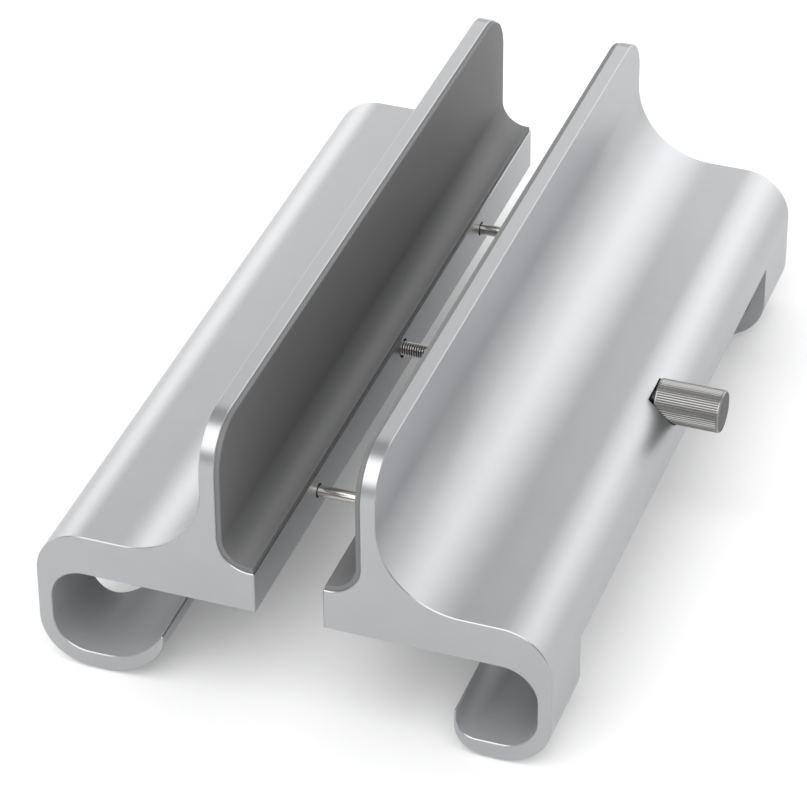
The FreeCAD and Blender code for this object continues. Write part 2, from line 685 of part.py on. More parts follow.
def main():
    """Builds every piece, checks them and writes one file for each."""
    fill_sheet()
    make_right_rail()
    make_left_rail()
    make_slot_pad("right_slot_pad", 1, RIGHT_INNER_FACE)
    make_slot_pad("left_slot_pad", -1, LEFT_INNER_FACE)
    make_guide_rods()
    make_left_rail_bushes()
    make_lead_screw()
    make_screw_bearing()
    make_knob()
    make_set_screws()
    make_foot_pads()
    document.recompute()

    pieces = [item for item in document.Objects if item.TypeId == "PartDesign::Body"]
    check_document(pieces)
    os.makedirs("parts", exist_ok=True)
    for piece in pieces:
        piece.Shape.exportStep(f"parts/{piece.Label}.step")
        print(piece.Label, len(piece.Shape.Solids), round(piece.Shape.Volume, 2), piece.Shape.BoundBox)


main()
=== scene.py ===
"""How the vertical laptop stand looks: rails, liners, rods, screw and knob as fine surfaces, with their finishes.

Every shape function works in millimetres, in a rail's own section: X outwards from the flat face in the gap,
Y along the rail, Z up from the lowest line of its feet. Only new_piece turns that into metres of the frame.
"""

import math

import bmesh
import bpy
import numpy as np
from mathutils import Matrix, Vector


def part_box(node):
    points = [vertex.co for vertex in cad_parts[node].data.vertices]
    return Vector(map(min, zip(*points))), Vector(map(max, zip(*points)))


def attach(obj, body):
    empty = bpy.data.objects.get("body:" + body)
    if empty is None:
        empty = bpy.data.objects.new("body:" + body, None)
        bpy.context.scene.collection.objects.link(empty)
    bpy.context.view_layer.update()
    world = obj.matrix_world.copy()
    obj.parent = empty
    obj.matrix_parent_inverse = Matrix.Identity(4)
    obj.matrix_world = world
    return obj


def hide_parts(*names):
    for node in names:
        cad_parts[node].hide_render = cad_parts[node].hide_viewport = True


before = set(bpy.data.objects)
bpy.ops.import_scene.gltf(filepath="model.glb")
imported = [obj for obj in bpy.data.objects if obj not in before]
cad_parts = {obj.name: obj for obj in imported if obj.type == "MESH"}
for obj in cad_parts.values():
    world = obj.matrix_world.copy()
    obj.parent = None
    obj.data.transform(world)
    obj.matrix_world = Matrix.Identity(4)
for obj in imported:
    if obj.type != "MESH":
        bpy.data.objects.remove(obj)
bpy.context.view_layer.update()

MM = 0.001
RIGHT_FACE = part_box("right_rail")[0].x / MM
LEFT_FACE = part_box("left_rail")[1].x / MM
FOOT_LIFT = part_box("left_rail")[0].z / MM
RIGHT, LEFT = (RIGHT_FACE, 1), (LEFT_FACE, -1)

# A rail's length, its chamfers and its section, from the gap face outwards and from the sole up.
HALF_LENGTH = 82.5
CHAMFER = 0.16
EDGE_ROW = 0.15
UNDERSIDE, LEDGE, TOP = 22.1, 31.0, 61.0
LEDGE_FLAT, LEDGE_FILLET, BLADE_IN, BLADE_OUT = 0.85, 6.5, 7.35, 10.35
CORNER_Y, CORNER_Z, CORNER_RADIUS = 73.0, 51.5, 9.5
SADDLE_RADIUS, SADDLE_END, WALL, BEND = 16.5, 34.5, 44.5, 10.0
HOLLOW_X, HOLLOW_WALL, HOLLOW_RADIUS, HOLLOW_TURN, SOLE = 34.6, 41.7, 7.1, 15.0, 3.5
# The arch that is cut out between the feet.
ARCH_Y, ARCH_TOP, ARCH_X, ARCH_CORNER = 64.9, 18.6, 31.7, 8.0
CEILING_X = HOLLOW_X + math.sqrt(HOLLOW_RADIUS**2 - (ARCH_TOP - HOLLOW_TURN) ** 2)
# Rods and screw, with the seats and bores for them, their washers and their grub screws.
ROD_Y, ROD_Z, SCREW_Z = 48.6, 26.5, 27.8
RECESS_FLOOR, RECESS_RADIUS = 38.8, 4.5
BUSH_SEAT_RADIUS, BUSH_SEAT_FLOOR, PASSAGE_RADIUS = 1.95, 33.4, 1.7
GRUB_TOP, GRUB_X, GRUB_RADIUS = 25.35, 12.0, 1.5
ROD_RADIUS, ROD_SEAT, ROD_BORE_RADIUS, ROD_BORE, ROD_BUSH_HOLE = 1.15, 25.0, 1.5, 36.0, 1.18
SCREW_BORE_RADIUS, SCREW_BORE, SCREW_HOLE = 2.05, 32.0, 1.53
WASHER_HOLE, WASHER_RADIUS = 1.58, 1.9
# How finely faces are divided, and how near two places count as one.
KNOB_ZONE = 8.0
ROUND, ARC_STEP = 48, 3.0
SAME, MERGE = 1e-4, 0.002
# The two directions of a section, and a rail's finishes in the order of its materials.
ACROSS, UP = 0, 1
NO_MARKS = (UP, ())
BODY, BRIGHT, BORE, HOLLOW, EDGE = range(5)


def run(start, end, radius, turn, marks, edge_rows):
    """One run of a section, without its last point.

    Straight: start + t (end - start), with a row just inside each end. Curved: centre + r (cos a, sin a), where
    the centre lies on the chord's middle line, to the left for turn +1. Rows are added at the marks: places
    across the section, or heights.
    """
    axis, wanted = marks[0], np.asarray(marks[1], float)
    start, end = np.array(start, float), np.array(end, float)
    chord = end - start
    length = math.hypot(*chord)
    if not radius:
        inside = EDGE_ROW / length if edge_rows and length > 8 * EDGE_ROW else 0.0
        even = np.array([0.0, inside, 1 - inside]) if inside else np.zeros(1)
        extra = (wanted - start[axis]) / chord[axis] if chord[axis] else np.zeros(0)
        near = 0.0
    else:
        across = np.array([-chord[1], chord[0]]) / length
        centre = (start + end) / 2 + across * turn * math.sqrt(max(radius**2 - length**2 / 4, 0))
        first = math.atan2(*(start - centre)[::-1])
        sweep = 2 * math.asin(min(length / 2 / radius, 1)) * turn
        even = np.linspace(0, 1, max(2, round(abs(math.degrees(sweep)) / ARC_STEP)), endpoint=False)
        share = (wanted - centre[axis]) / radius
        share = share[abs(share) <= 1]
        if axis == ACROSS:
            angles = [np.arccos(share), -np.arccos(share)]
        else:
            angles = [np.arcsin(share), math.pi - np.arcsin(share)]
        extra = (((np.concatenate(angles) - first) * turn + SAME) % (2 * math.pi) - SAME) / abs(sweep)
        near = 0.4 / len(even)
    extra = extra[(extra > -1e-5) & (extra < 1 + 1e-5)]
    if len(extra):
        even = even[(even == 0) | (even < extra.min() - near) | (even > extra.max() + near)]
    extra = extra[(extra > 1e-5) & (extra < 1 - 1e-5)]
    t = np.sort(np.concatenate([even, extra]))[:, None]
    if not radius:
        return start + t * chord
    angle = first + t * sweep
    return centre + radius * np.concatenate([np.cos(angle), np.sin(angle)], 1)


quarter = np.linspace(0, math.pi / 2, 17)
corner_heights = (UP, CORNER_Z + (CORNER_RADIUS - CHAMFER) * np.sin(quarter[1:-1]))
arch_places = ARCH_X + ARCH_CORNER * (1 - np.sin(quarter))
recess_rise = math.sqrt(BEND**2 - (RECESS_FLOOR - SADDLE_END) ** 2) + LEDGE - BEND
recess_turn = np.linspace(math.asin((recess_rise - SCREW_Z) / RECESS_RADIUS), -math.pi / 2, 37)
recess_heights = SCREW_Z + RECESS_RADIUS * np.sin(recess_turn)


def section(curl, shoulder_marks=NO_MARKS):
    """A rail's closed outline, from the foot of the gap face up over the blade and round the foot: runs put end
    to end. curl lists the ends, radii and turns of the runs from the sole's flat to the hollow's floor. Sole and
    floor get rows at the same places inside the arch's cut."""
    cut = (ACROSS, np.concatenate([arch_places, [SADDLE_END, HOLLOW_X]]))
    steps = [
        ((0, LEDGE - CHAMFER), 0, 0, NO_MARKS, False),
        ((CHAMFER, LEDGE), 0, 0, NO_MARKS, False),
        ((LEDGE_FLAT, LEDGE), 0, 0, NO_MARKS, True),
        ((BLADE_IN, LEDGE + LEDGE_FILLET), LEDGE_FILLET, 1, NO_MARKS, True),
        ((BLADE_IN, CORNER_Z), 0, 0, NO_MARKS, True),
        ((BLADE_IN, TOP - CHAMFER), 0, 0, corner_heights, False),
        ((BLADE_IN + CHAMFER, TOP), 0, 0, NO_MARKS, False),
        ((BLADE_OUT - CHAMFER, TOP), 0, 0, NO_MARKS, False),
        ((BLADE_OUT, TOP - CHAMFER), 0, 0, NO_MARKS, False),
        ((BLADE_OUT, CORNER_Z), 0, 0, corner_heights, False),
        ((BLADE_OUT, LEDGE + SADDLE_RADIUS), 0, 0, NO_MARKS, True),
        ((BLADE_OUT + SADDLE_RADIUS, LEDGE), SADDLE_RADIUS, 1, NO_MARKS, True),
        ((SADDLE_END, LEDGE), 0, 0, NO_MARKS, True),
        ((WALL, LEDGE - BEND), BEND, -1, shoulder_marks, True),
        ((WALL, ARCH_TOP), 0, 0, NO_MARKS, True),
        ((WALL, BEND), 0, 0, NO_MARKS, True),
        ((SADDLE_END, 0), BEND, -1, cut, True),
        *((end, radius, turn, cut, True) for end, radius, turn in curl),
        ((HOLLOW_X, SOLE), 0, 0, cut, True),
        ((HOLLOW_WALL, SOLE + HOLLOW_RADIUS), HOLLOW_RADIUS, 1, cut, True),
        ((HOLLOW_WALL, HOLLOW_TURN), 0, 0, NO_MARKS, True),
        ((HOLLOW_X, UNDERSIDE), HOLLOW_RADIUS, 1, (UP, [ARCH_TOP]), True),
        ((0, UNDERSIDE), 0, 0, NO_MARKS, False),
    ]
    starts = [(0, UNDERSIDE)] + [step[0] for step in steps]
    return np.concatenate([run(start, *step) for start, step in zip(starts, steps)])


def floor_bend(tip, end):
    """Radius of the arc that starts at a curl's tip and runs out level on the hollow's floor: (dx2 + dz2) / 2 dz."""
    across, down = end[0] - tip[0], tip[1] - end[1]
    return (across**2 + down**2) / (2 * down)


tight_x, tight_radius, tight_bend, tight_lip = 25.55, 5.7, 3.9, 0.38
tight_tip = (tight_x + tight_lip, 9.05)
tight_curl = [
    ((ARCH_X, 0), 0, 0),
    ((tight_x + tight_radius, 0), 0, 0),
    ((tight_x, tight_radius), tight_radius, -1),
    ((tight_x, tight_tip[1]), 0, 0),
    (tight_tip, tight_lip / 2, -1),
    ((tight_tip[0], SOLE + tight_bend), 0, 0),
    ((tight_tip[0] + tight_bend, SOLE), tight_bend, 1),
]
open_radius, end_radius, open_x, open_lip = 13.5, 6.0, 19.05, 0.6
end_across = ARCH_X - open_x - end_radius
end_down = math.sqrt((open_radius - end_radius) ** 2 - end_across**2)
end_share = open_radius / (open_radius - end_radius)
open_tip, open_end = (open_x + open_lip, 10.7), (31.6, SOLE)
open_curl = [
    ((ARCH_X, 0), 0, 0),
    ((ARCH_X - end_across * end_share, open_radius - end_down * end_share), open_radius, -1),
    ((open_x, open_radius - end_down), end_radius, -1),
    ((open_x, open_tip[1]), 0, 0),
    (open_tip, open_lip / 2, -1),
    (open_end, floor_bend(open_tip, open_end), 1),
]


def inset(outline, depth):
    """The closed outline moved inwards by depth, mitred: P + depth (n1 + n2) / (1 + n1.n2)."""
    along = np.roll(outline, -1, 0) - outline
    along /= np.hypot(along[:, 0], along[:, 1])[:, None]
    inward = np.stack([along[:, 1], -along[:, 0]], 1)
    before = np.roll(inward, 1, 0)
    return outline + depth * (before + inward) / (1 + (before * inward).sum(1))[:, None]


def end_limit(heights):
    """How far a row at each height reaches along the rail: the full length, and round the blade's corner
    y = yc + sqrt(r2 - (z - zc)2)."""
    radius = CORNER_RADIUS - CHAMFER
    rise = np.clip(np.asarray(heights) - CORNER_Z, 0, radius)
    return CORNER_Y + np.sqrt(radius**2 - rise**2)


def arch_limit(places):
    """Where the arch's cut ends in a row at each place across the section, round the cutter's corner:
    y = y0 - r + sqrt(r2 - d2), d being how far the place lies inside the corner's middle."""
    depth = np.clip(ARCH_X + ARCH_CORNER - np.asarray(places), 0, ARCH_CORNER)
    return ARCH_Y - ARCH_CORNER + np.sqrt(ARCH_CORNER**2 - depth**2)


FOOT_SHARES = np.linspace(0, 1, 7)
MIDDLE_COLUMNS = np.array([14.0, 22.0, 30.0, 38.0, 44.0, ROD_Y, 54.0])


def half_columns(limit, gap, foot=ARCH_Y):
    """Places along one half of each row: spread from the recess's edge, then fixed, then spread from the foot's
    start to the row's end."""
    near = gap[:, None] + (KNOB_ZONE - gap[:, None]) * np.linspace(0, 1, 9)
    fixed = np.broadcast_to(MIDDLE_COLUMNS, (len(limit), len(MIDDLE_COLUMNS)))
    return np.concatenate([near, fixed, foot + (limit[:, None] - foot) * FOOT_SHARES], 1)


def full_columns(limit, gap=0.0, between=0, foot=ARCH_Y):
    """Both halves of each row; between is the number of steps across the gap at mid-length."""
    half = half_columns(limit, np.full(len(limit), gap), foot)
    middle = np.linspace(-gap, gap, between + 1)[1:-1] if between else np.zeros(0)
    middle = np.broadcast_to(middle, (len(limit), len(middle)))
    return np.concatenate([-half[:, ::-1], middle, half if between else half[:, 1:]], 1)


def grid(points, finish=0, closed=False):
    """A patch from an n by m array of points, as quads; closed joins the last column to the first."""
    n, m = points.shape[:2]
    index = np.arange(n * m).reshape(n, m)
    if closed:
        index = np.concatenate([index, index[:, :1]], 1)
    quads = np.stack([index[:-1, :-1], index[1:, :-1], index[1:, 1:], index[:-1, 1:]], -1).reshape(-1, 4)
    return points.reshape(-1, 3), quads.tolist(), finish


def flat(points, finish=0):
    """A patch of one flat face round the points given."""
    points = np.asarray(points, float)
    return points, [list(range(len(points)))], finish


def stack(x, y, z):
    """Points from three arrays that broadcast together."""
    return np.stack(np.broadcast_arrays(x, y, z), -1).astype(float)


def rows_patch(rows, columns, finish=0):
    """A ruled patch: section point of each row, at each of its places along the rail."""
    return grid(stack(rows[:, :1], columns, rows[:, 1:]), finish)


def circle(count=ROUND):
    """Angles once round, from straight down."""
    return -math.pi / 2 + 2 * math.pi * np.arange(count) / count


def plate(low, high, holes, to_space, finish=0):
    """A flat plate between two edges, both lists of (place, height), with round holes (place, height, radius).
    It is cut at each hole's middle line, so every part is one flat face with half circles for notches."""
    half = ROUND // 2
    angle = np.append(circle(), 1.5 * math.pi)
    cuts = [(low[0][0], None)] + [(hole[0], hole) for hole in holes] + [(low[-1][0], None)]
    patches = []
    for (start, left_hole), (end, right_hole) in zip(cuts, cuts[1:]):
        below = [p for p in low if start - 1e-6 <= p[0] <= end + 1e-6]
        above = [p for p in high if start - 1e-6 <= p[0] <= end + 1e-6][::-1]
        points = list(below)
        if right_hole:
            y, z, radius = right_hole
            points += [(y + radius * math.cos(a), z + radius * math.sin(a)) for a in angle[half:][::-1]]
        points += above
        if left_hole:
            y, z, radius = left_hole
            points += [(y + radius * math.cos(a), z + radius * math.sin(a)) for a in angle[: half + 1][::-1]]
        patches.append(flat([to_space(*p) for p in points], finish))
    return patches


def tube(y, z, stops, finish, closed=True):
    """The wall of a stepped bore along X: circles of the radii in stops (x, radius), the last one closed."""
    angle = circle()
    rings = np.array([stack(x, y + r * np.cos(angle), z + r * np.sin(angle)) for x, r in stops])
    patches = [grid(rings, finish, closed=True)]
    return patches + [flat(rings[-1], finish)] * closed


def blade_cap(gap, between):
    """The blade's edge from end to end: two narrow chamfers and the strip between them, carried up round one
    corner, along the top and down round the other."""
    top = full_columns(np.array([CORNER_Y]), gap, between)[0]
    rear = CORNER_Y * np.ones(len(quarter))
    places = np.concatenate([-rear, top[1:-1], rear])
    turn_y = np.concatenate([-np.cos(quarter), np.zeros(len(top) - 2), np.cos(quarter[::-1])])
    turn_z = np.concatenate([np.sin(quarter), np.ones(len(top) - 2), np.sin(quarter[::-1])])
    edge = np.array([(BLADE_IN, CHAMFER), (BLADE_IN + CHAMFER, 0), (BLADE_OUT - CHAMFER, 0), (BLADE_OUT, CHAMFER)])
    radius = CORNER_RADIUS - edge[:, 1]
    points = stack(edge[:, 0], places[:, None] + turn_y[:, None] * radius, CORNER_Z + turn_z[:, None] * radius)
    return [grid(points[:, :2], BRIGHT), grid(points[:, 1:3], EDGE), grid(points[:, 2:], BRIGHT)]


def rail(outline, tip, gap_holes, bores, underside_holes=(), recess=False):
    """Every face of a rail as patches: ruled skin, bright chamfers, flat ends, arch, bores and the knob's recess.
    tip is the crown of the curl's rounded lip, where the skin passes into the hollow."""
    def at(x, z):
        """Which point of the outline lies at (x, z)."""
        return int(np.argmin(np.hypot(outline[:, 0] - x, outline[:, 1] - z)))

    gap = RECESS_RADIUS * math.cos(recess_turn[0]) if recess else 0.0
    between = 8 if recess else 0
    patches = []

    def skin(first, last, wide, finish=BODY):
        rows = outline[first : last + 1]
        limit = end_limit(rows[:, 1])
        columns = full_columns(limit, gap, between) if wide else full_columns(limit)
        patches.append(rows_patch(rows, columns, finish))

    ledge, blade_top = at(CHAMFER, LEDGE), at(BLADE_IN, TOP - CHAMFER)
    outer_top = at(BLADE_OUT, TOP - CHAMFER)
    outer_arch, inner_arch = at(WALL, ARCH_TOP), at(CEILING_X, ARCH_TOP)
    edge_rows = outline[ledge - 1 : ledge + 1]
    patches.append(rows_patch(edge_rows, full_columns(end_limit(edge_rows[:, 1]), gap, between), BRIGHT))
    skin(ledge, blade_top, True)
    if recess:
        top_row = at(RECESS_FLOOR, recess_rise)
        low_row = at(SADDLE_END + math.sqrt(BEND**2 - (recess_heights[-1] - LEDGE + BEND) ** 2), recess_heights[-1])
        skin(outer_top, top_row, True)
        rows = outline[top_row : low_row + 1]
        width = RECESS_RADIUS * np.cos(recess_turn)
        half = half_columns(end_limit(rows[:, 1]), width)
        patches += [rows_patch(rows, half), rows_patch(rows, -half[:, ::-1])]
        skin(low_row, outer_arch, False)
        patches += knob_recess(rows, width, gap, between)
    else:
        skin(outer_top, outer_arch, False)
    skin(inner_arch, at(HOLLOW_X, UNDERSIDE), False, HOLLOW)
    patches += blade_cap(gap, between)

    patches += foot_faces(outline, outer_arch, at(*tip), inner_arch)

    along = full_columns(end_limit([LEDGE]), gap, between)[0]
    plain = full_columns(end_limit([0.0]))[0]
    low = [(y, UNDERSIDE) for y in plain]
    high = [(y, LEDGE - CHAMFER) for y in along]
    patches += plate(low, high, gap_holes, lambda y, z: (0, y, z))
    low, high = [(y, 0) for y in plain], [(y, HOLLOW_X) for y in plain]
    patches += plate(low, high, underside_holes, lambda y, x: (x, y, UNDERSIDE), HOLLOW)
    for y, z, stops in bores:
        patches += tube(y, z, stops, BORE)
    for y, x, radius in underside_holes:
        ring = [stack(x + radius * np.sin(circle()), y + radius * np.cos(circle()), z)
                for z in (UNDERSIDE, GRUB_TOP)]
        patches += [grid(np.array(ring), BORE, closed=True), flat(ring[1], BORE)]

    inner = inset(outline, CHAMFER)
    low_part = np.r_[at(BLADE_OUT, CORNER_Z) : len(outline), 0 : at(BLADE_IN, CORNER_Z) + 1]
    outer_edge, inner_edge = outline[low_part], inner[low_part]
    for side in (-1, 1):
        limit = side * (HALF_LENGTH - CHAMFER)
        strip = np.array([
            stack(outer_edge[:, 0], limit, outer_edge[:, 1]),
            stack(inner_edge[:, 0], side * HALF_LENGTH, inner_edge[:, 1]),
        ])
        patches += [grid(strip, BRIGHT), flat(strip[1])]
    return patches


def foot_faces(outline, outer, tip, inner):
    """Below the arch's ceiling: the skin of the two feet, the curl that runs on between them, and the arch's cut
    faces, ruled between rows at the same places on the sole and on the hollow's floor."""
    sole, floor = outer + np.flatnonzero(abs(outline[outer:inner, 0] - ARCH_X) < SAME)[[0, -1]]
    columns = full_columns(end_limit([0.0]), foot=ARCH_Y - ARCH_CORNER)[0]
    patches = []
    for first, last, finish in ((sole, tip, BODY), (tip, floor, HOLLOW)):
        rows = outline[first : last + 1]
        patches.append(rows_patch(rows, np.tile(columns, (len(rows), 1)), finish))
    middle = columns[abs(columns) < ARCH_Y - ARCH_CORNER + SAME]
    patches.append(rows_patch(outline[[sole, floor]], np.stack([middle, middle])))

    corner = ARCH_X + ARCH_CORNER + SAME
    below, above = outline[outer : sole + 1], outline[floor : inner + 1]
    low = below[below[:, 0] < corner]
    high = above[: len(low)][::-1]
    face = np.concatenate([below[below[:, 0] > corner - 2 * SAME], above[len(low) - 1 :]])
    for side in (-1, 1):
        for rows, finish in ((below, BODY), (above, HOLLOW)):
            start = arch_limit(rows[:, 0])[:, None]
            strip = start + (end_limit(rows[:, 1])[:, None] - start) * FOOT_SHARES
            patches.append(rows_patch(rows, side * strip, finish))
        end = side * arch_limit(low[:, 0])
        patches.append(grid(np.stack([stack(low[:, 0], end, low[:, 1]), stack(high[:, 0], end, high[:, 1])], 1)))
        patches.append(flat(stack(face[:, 0], side * ARCH_Y, face[:, 1])))

    columns = full_columns(end_limit([ARCH_TOP]))[0]
    columns = columns[abs(columns) < ARCH_Y + SAME]
    ceiling = np.array([(CEILING_X, ARCH_TOP), (WALL, ARCH_TOP)])
    return patches + [rows_patch(ceiling, np.stack([columns, columns]))]


def knob_recess(rows, width, gap, between):
    """The recess in the shoulder: a round wall from the skin in to a flat floor, and the floor round the bush."""
    skin_x = np.concatenate([rows[:, 0], rows[-2::-1, 0]])
    y = np.concatenate([-width, width[-2::-1]])
    z = np.concatenate([rows[:, 1], rows[-2::-1, 1]])
    wall = np.stack([stack(skin_x, y, z), stack(RECESS_FLOOR, y, z)], 1)
    patches = [grid(wall, BORE)]
    top = np.linspace(-gap, gap, between + 1)
    angle = np.append(circle(), 1.5 * math.pi)
    half = ROUND // 2
    for side, turn in ((1, angle[: half + 1]), (-1, angle[half:][::-1])):
        edge = [(side * w, h) for w, h in zip(width, rows[:, 1])]
        hole = [(BUSH_SEAT_RADIUS * math.cos(a), SCREW_Z + BUSH_SEAT_RADIUS * math.sin(a)) for a in turn]
        upper = [(place, rows[0, 1]) for place in top if -1e-9 <= side * place < gap - 1e-9]
        points = sorted(upper, key=lambda p: abs(p[0])) + edge + hole
        patches.append(flat([(RECESS_FLOOR, a, b) for a, b in points], BORE))
    return patches


def new_piece(name, body, patches, finishes, side=(0.0, 1), lift=0.0, replaces=(), sharp=30.0):
    """Puts patches together as one closed surface in metres, in its place in the frame, and hangs it on its body."""
    points, faces, used, count = [], [], [], 0
    for vertices, polygons, finish in patches:
        points.append(vertices)
        faces += [[i + count for i in polygon] for polygon in polygons]
        used += [finish] * len(polygons)
        count += len(vertices)
    place = np.concatenate(points)
    face_x, way = side
    place = np.stack([face_x + way * place[:, 0], place[:, 1], place[:, 2] + lift], 1) * MM
    mesh = bpy.data.meshes.new(name)
    mesh.from_pydata(place.tolist(), [], faces)
    mesh.polygons.foreach_set("material_index", used)
    shell = bmesh.new()
    shell.from_mesh(mesh)
    bmesh.ops.remove_doubles(shell, verts=shell.verts, dist=MERGE * MM)
    bmesh.ops.dissolve_degenerate(shell, edges=shell.edges, dist=MERGE * MM / 10)
    bmesh.ops.recalc_face_normals(shell, faces=shell.faces)
    shell.to_mesh(mesh)
    shell.free()
    for finish in finishes:
        mesh.materials.append(finish)
    mesh.shade_smooth()
    mesh.set_sharp_from_angle(angle=math.radians(sharp))
    piece = bpy.data.objects.new(name, mesh)
    bpy.context.scene.collection.objects.link(piece)
    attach(piece, body)
    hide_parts(*replaces)


class Value:
    """One output of a shader node. Sums, differences, products and powers of it are written as plain formulas."""

    def __init__(self, finish, socket):
        self.finish, self.socket = finish, socket

    def _math(self, operation, first, second):
        return self.finish.add("ShaderNodeMath", {"operation": operation}, {0: first, 1: second})

    def __add__(self, other):
        return self._math("ADD", self, other)

    def __sub__(self, other):
        return self._math("SUBTRACT", self, other)

    def __rsub__(self, other):
        return self._math("SUBTRACT", other, self)

    def __mul__(self, other):
        return self._math("MULTIPLY", self, other)

    def __pow__(self, other):
        return self._math("POWER", self, other)

    __radd__ = __add__


class Finish:
    """A material and its nodes."""

    def __init__(self, name):
        self.material = bpy.data.materials.new(name)
        self.material.use_nodes = True
        self.tree = self.material.node_tree
        self.shader = self.tree.nodes["Principled BSDF"]
        self.place = self.add("ShaderNodeTexCoord", {}, {}, "Object")

    def add(self, kind, settings, inputs, output=0):
        """Adds one node: settings first (a ramp's stops among them), then the values or links of its sockets."""
        node = self.tree.nodes.new(kind)
        stops = settings.pop("stops", None)
        for name, setting in settings.items():
            setattr(node, name, setting)
        if stops:
            ramp = node.color_ramp
            while len(ramp.elements) < len(stops):
                ramp.elements.new(1.0)
            for element, (position, tone) in zip(ramp.elements, stops):
                element.position, element.color = position, (tone, tone, tone, 1)
        self.fill(node, inputs)
        return Value(self, node.outputs[output])

    def fill(self, node, inputs):
        """Sets or links sockets of a node."""
        for name, given in inputs.items():
            if isinstance(given, Value):
                self.tree.links.new(given.socket, node.inputs[name])
            else:
                node.inputs[name].default_value = given

    def surface(self, **inputs):
        """Fills the shader's own sockets; an underscore in a name stands for a space."""
        self.fill(self.shader, {name.replace("_", " "): given for name, given in inputs.items()})
        return self.material

    def noise(self, size, detail=2.0, roughness=0.5, stretch=(1, 1, 1)):
        """Noise with lumps of about size millimetres, drawn out by stretch along each axis."""
        where = self.place
        if stretch != (1, 1, 1):
            where = self.add("ShaderNodeMapping", {}, {"Vector": where, "Scale": [1 / s for s in stretch]})
        return self.add("ShaderNodeTexNoise", {}, {
            "Vector": where, "Scale": 1 / (size * MM), "Detail": detail, "Roughness": roughness})

    def tone(self, share, dark, light):
        """A colour between two, by a share from 0 to 1."""
        return self.add("ShaderNodeMix", {"data_type": "RGBA"}, {
            0: share, 6: (*dark, 1), 7: (*light, 1)}, 2)

    def bump(self, height, depth):
        """A normal roughened by a height from 0 to 1 that stands for depth millimetres."""
        return self.add("ShaderNodeBump", {}, {"Height": height, "Distance": depth * MM, "Strength": 1.0})


def blasted_aluminium():
    """Bead-blasted, clear anodised: a fine even grain, faint clouds in tone and gloss."""
    finish = Finish("blasted_aluminium")
    grain = finish.noise(0.22, 3.0, 0.6)
    clouds = finish.noise(9.0, 3.0, 0.55)
    share = clouds * 0.5 + grain * 0.5
    return finish.surface(
        Base_Color=finish.tone(share, (0.371, 0.377, 0.387), (0.456, 0.462, 0.473)),
        Metallic=1.0,
        Roughness=0.33 + grain * 0.10 + clouds * 0.04,
        Normal=finish.bump(grain, 0.012),
    )


def cut_aluminium():
    """The bright cut chamfers: finer and glossier, with faint marks along the cut."""
    finish = Finish("cut_aluminium")
    marks = finish.noise(0.12, 2.0, 0.5, stretch=(1, 14, 1))
    return finish.surface(
        Base_Color=finish.tone(marks, (0.325, 0.330, 0.338), (0.415, 0.420, 0.430)),
        Metallic=1.0,
        Roughness=0.24 + marks * 0.10,
        Normal=finish.bump(marks, 0.004),
    )


def hollow_shade_aluminium():
    """Inside the foot and under the rail: duller, less metallic aluminium with faint lines along the cut; its
    colour, darker than the skin's, is painted shade.
    """
    finish = Finish("hollow_shade_aluminium")
    marks = finish.noise(0.35, 2.0, 0.5, stretch=(1, 30, 1))
    clouds = finish.noise(7.0, 3.0, 0.55)
    return finish.surface(
        # Darker than the skin: painted shade inside the hollow and under the rail.
        Base_Color=finish.tone(marks * 0.5 + clouds * 0.5, (0.29, 0.294, 0.301), (0.35, 0.354, 0.362)),
        Metallic=0.3,
        Roughness=0.58 + marks * 0.10,
        Normal=finish.bump(marks, 0.006),
    )


def milled_edge():
    """The blade's narrow edge: fine lines along its way up, over and down again, a little glossier than the skin."""
    finish = Finish("milled_edge")
    lines = finish.noise(0.10, 3.0, 0.6, stretch=(1, 40, 40))
    grain = finish.noise(0.22, 3.0, 0.6)
    return finish.surface(
        Base_Color=finish.tone(lines * 0.7 + grain * 0.3, (0.350, 0.356, 0.365), (0.460, 0.466, 0.476)),
        Metallic=1.0,
        Roughness=0.25 + lines * 0.12 + grain * 0.04,
        Normal=finish.bump(lines, 0.005),
    )


def bore_shade_aluminium():
    """Walls of bores and the knob's recess, with fine turning marks; their dark colour is painted shade inside them.
    """
    finish = Finish("bore_shade_aluminium")
    marks = finish.noise(0.10, 2.0, 0.5, stretch=(1, 10, 10))
    return finish.surface(
        # Dark base colour: painted shade inside the bores and the knob's recess.
        Base_Color=finish.tone(marks, (0.12, 0.12, 0.123), (0.18, 0.18, 0.184)),
        Metallic=1.0,
        Roughness=0.48 + marks * 0.12,
        Normal=finish.bump(marks, 0.008),
    )


def silicone(name, dark, light, roughness):
    """Matte silicone: a very fine moulded grain and faint handling marks."""
    finish = Finish(name)
    grain = finish.noise(0.30, 3.0, 0.6)
    patches = finish.noise(14.0, 3.0, 0.6)
    return finish.surface(
        Base_Color=finish.tone(patches * 0.6 + grain * 0.4, dark, light),
        Roughness=roughness + patches * 0.10,
        Specular_IOR_Level=0.5,
        Normal=finish.bump(grain, 0.010),
    )


def metal(name, dark, light, roughness, spread, stretch=(12, 1, 1), depth=0.003):
    """Turned or ground metal: marks drawn out along one axis in tone, gloss and height."""
    finish = Finish(name)
    marks = finish.noise(0.12, 2.0, 0.5, stretch=stretch)
    clouds = finish.noise(2.5, 2.0, 0.5)
    return finish.surface(
        Base_Color=finish.tone(marks * 0.6 + clouds * 0.4, dark, light),
        Metallic=1.0,
        Roughness=roughness + marks * spread,
        Normal=finish.bump(marks, depth),
    )


